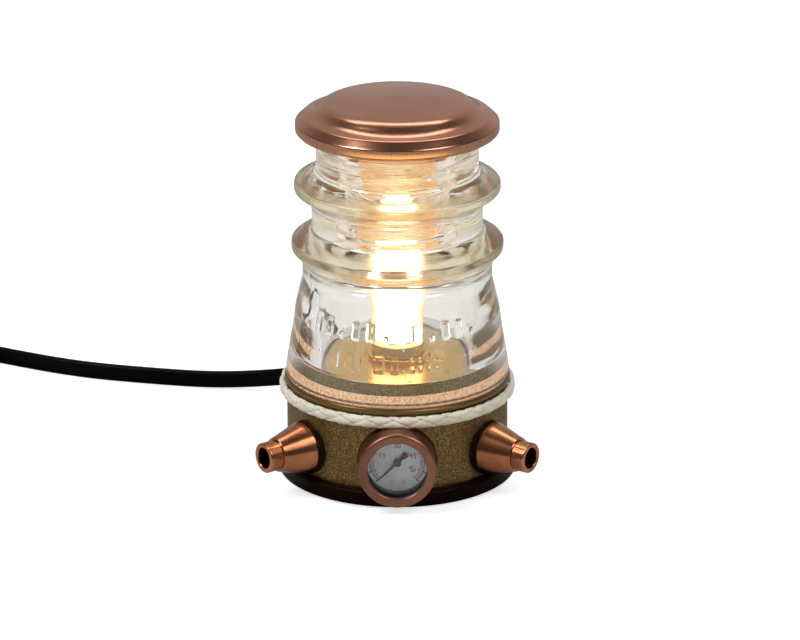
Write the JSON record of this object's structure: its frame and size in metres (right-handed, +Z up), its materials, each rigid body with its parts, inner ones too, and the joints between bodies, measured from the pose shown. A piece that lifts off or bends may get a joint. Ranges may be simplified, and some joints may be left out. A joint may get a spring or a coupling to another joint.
{
  "type": "insulator table lamp",
  "caption": "Small table lamp: a clear glass line insulator under a stepped copper cap, on a round bronze base with a pressure gauge, nozzles and a mains cord.",
  "frame": {"origin": "centre of the pad's underside, on the lamp's axis, in the plane it stands on", "axes": "+Z up along the lamp's axis; -Y is the front, which the gauge faces; +X is to the right seen from the front"},
  "size_m": [0.3426, 0.2068, 0.1612],
  "materials": {
    "pad_rubber": "matt",
    "foot_dark": "satin dark bronze paint",
    "body_bronze": "grained bronze paint",
    "braid_leather": "ivory round braid",
    "insulator_glass": "pressed clear glass with seeds",
    "cap_copper": "satin copper, fine grain",
    "cushion": "soft cushion",
    "bulb_glass": "frosted bulb",
    "bulb_base": "bright screw base",
    "filament": "lit column",
    "socket_ceramic": "unglazed white",
    "brass": "plain brass",
    "cup_bronze": "satin bronze",
    "steel": "zinc plated",
    "nozzle_copper": "copper, turned and tarnished",
    "grommet_rubber": "dark rubber",
    "gauge_copper": "satin copper",
    "gauge_black": "black enamel",
    "gauge_glass": "flat clear window",
    "dial_white": "white printed dial",
    "pointer_black": "black needle",
    "cord_black": "black flat twin flex",
    "lead_black": "black insulation",
    "plug_black": "black moulded plug"
  },
  "bodies": {
    "base": {"foot_pad": "pad_rubber", "foot_disc": "foot_dark", "base_shell": "body_bronze", "top_plate": "body_bronze", "braid_band": "braid_leather", "socket_body": "socket_ceramic", "socket_shell": "brass", "socket_contact": "brass", "socket_cup": "cup_bronze", "socket_ring_nut": "cup_bronze", "socket_terminals": "brass", "socket_hickey": "brass", "nipple": "steel", "nipple_nuts": "steel", "nipple_washers": "steel", "nozzle_left": "nozzle_copper", "nozzle_right": "nozzle_copper", "nozzle_grommet_left": "grommet_rubber", "nozzle_grommet_right": "grommet_rubber", "gauge_housing": "gauge_copper", "gauge_bezel": "gauge_black", "gauge_window": "gauge_glass", "gauge_case": "gauge_black", "gauge_dial": "dial_white", "dial_screws": "steel", "movement_front_plate": "brass", "movement_back_plate": "brass", "bourdon_tube": "brass", "gauge_stem": "brass", "strain_relief": "cord_black", "lead_live": "lead_black", "lead_neutral": "lead_black", "cord_front": "cord_black", "cord_coil": "cord_black", "cord_tail": "cord_black", "plug_body": "plug_black", "plug_blades": "brass"},
    "glass": {"glass_insulator": "insulator_glass", "cap": "cap_copper", "cap_pad": "cushion"},
    "bulb": {"bulb_glass": "bulb_glass", "bulb_base": "bulb_base", "bulb_filament": "filament"},
    "pointer": {"gauge_pointer": "pointer_black", "pointer_arbor": "brass"},
    "sector": {"sector_gear": "brass"},
    "link": {"gauge_link": "brass"}
  },
  "joints": [
    {"name": "glass_lift", "type": "slide", "parent": "base", "child": "glass", "axis": [0, 0, 1], "range_m": [0, 0.1]},
    {"name": "bulb_turn", "type": "hinge", "parent": "base", "child": "bulb", "pos_m": [0, 0, 0.044], "axis": [0, 0, 1], "continuous": true},
    {"name": "sector_turn", "type": "hinge", "parent": "base", "child": "sector", "pos_m": [0, -0.04, 0.0118], "axis": [0, 1, 0], "range_deg": [-54, 0]},
    {"name": "pointer_turn", "type": "hinge", "parent": "base", "child": "pointer", "pos_m": [0, -0.041, 0.0193], "axis": [0, 1, 0], "range_deg": [0, 270]},
    {"name": "link_swing", "type": "hinge", "parent": "sector", "child": "link", "pos_m": [-0.00073, -0.041, 0.01037], "axis": [0, 1, 0], "range_deg": [0, 54]}
  ],
  "couplings": [
    {"joint": "pointer_turn", "follows": "sector_turn", "ratio": -5},
    {"joint": "link_swing", "follows": "sector_turn", "ratio": -1}
  ]
}
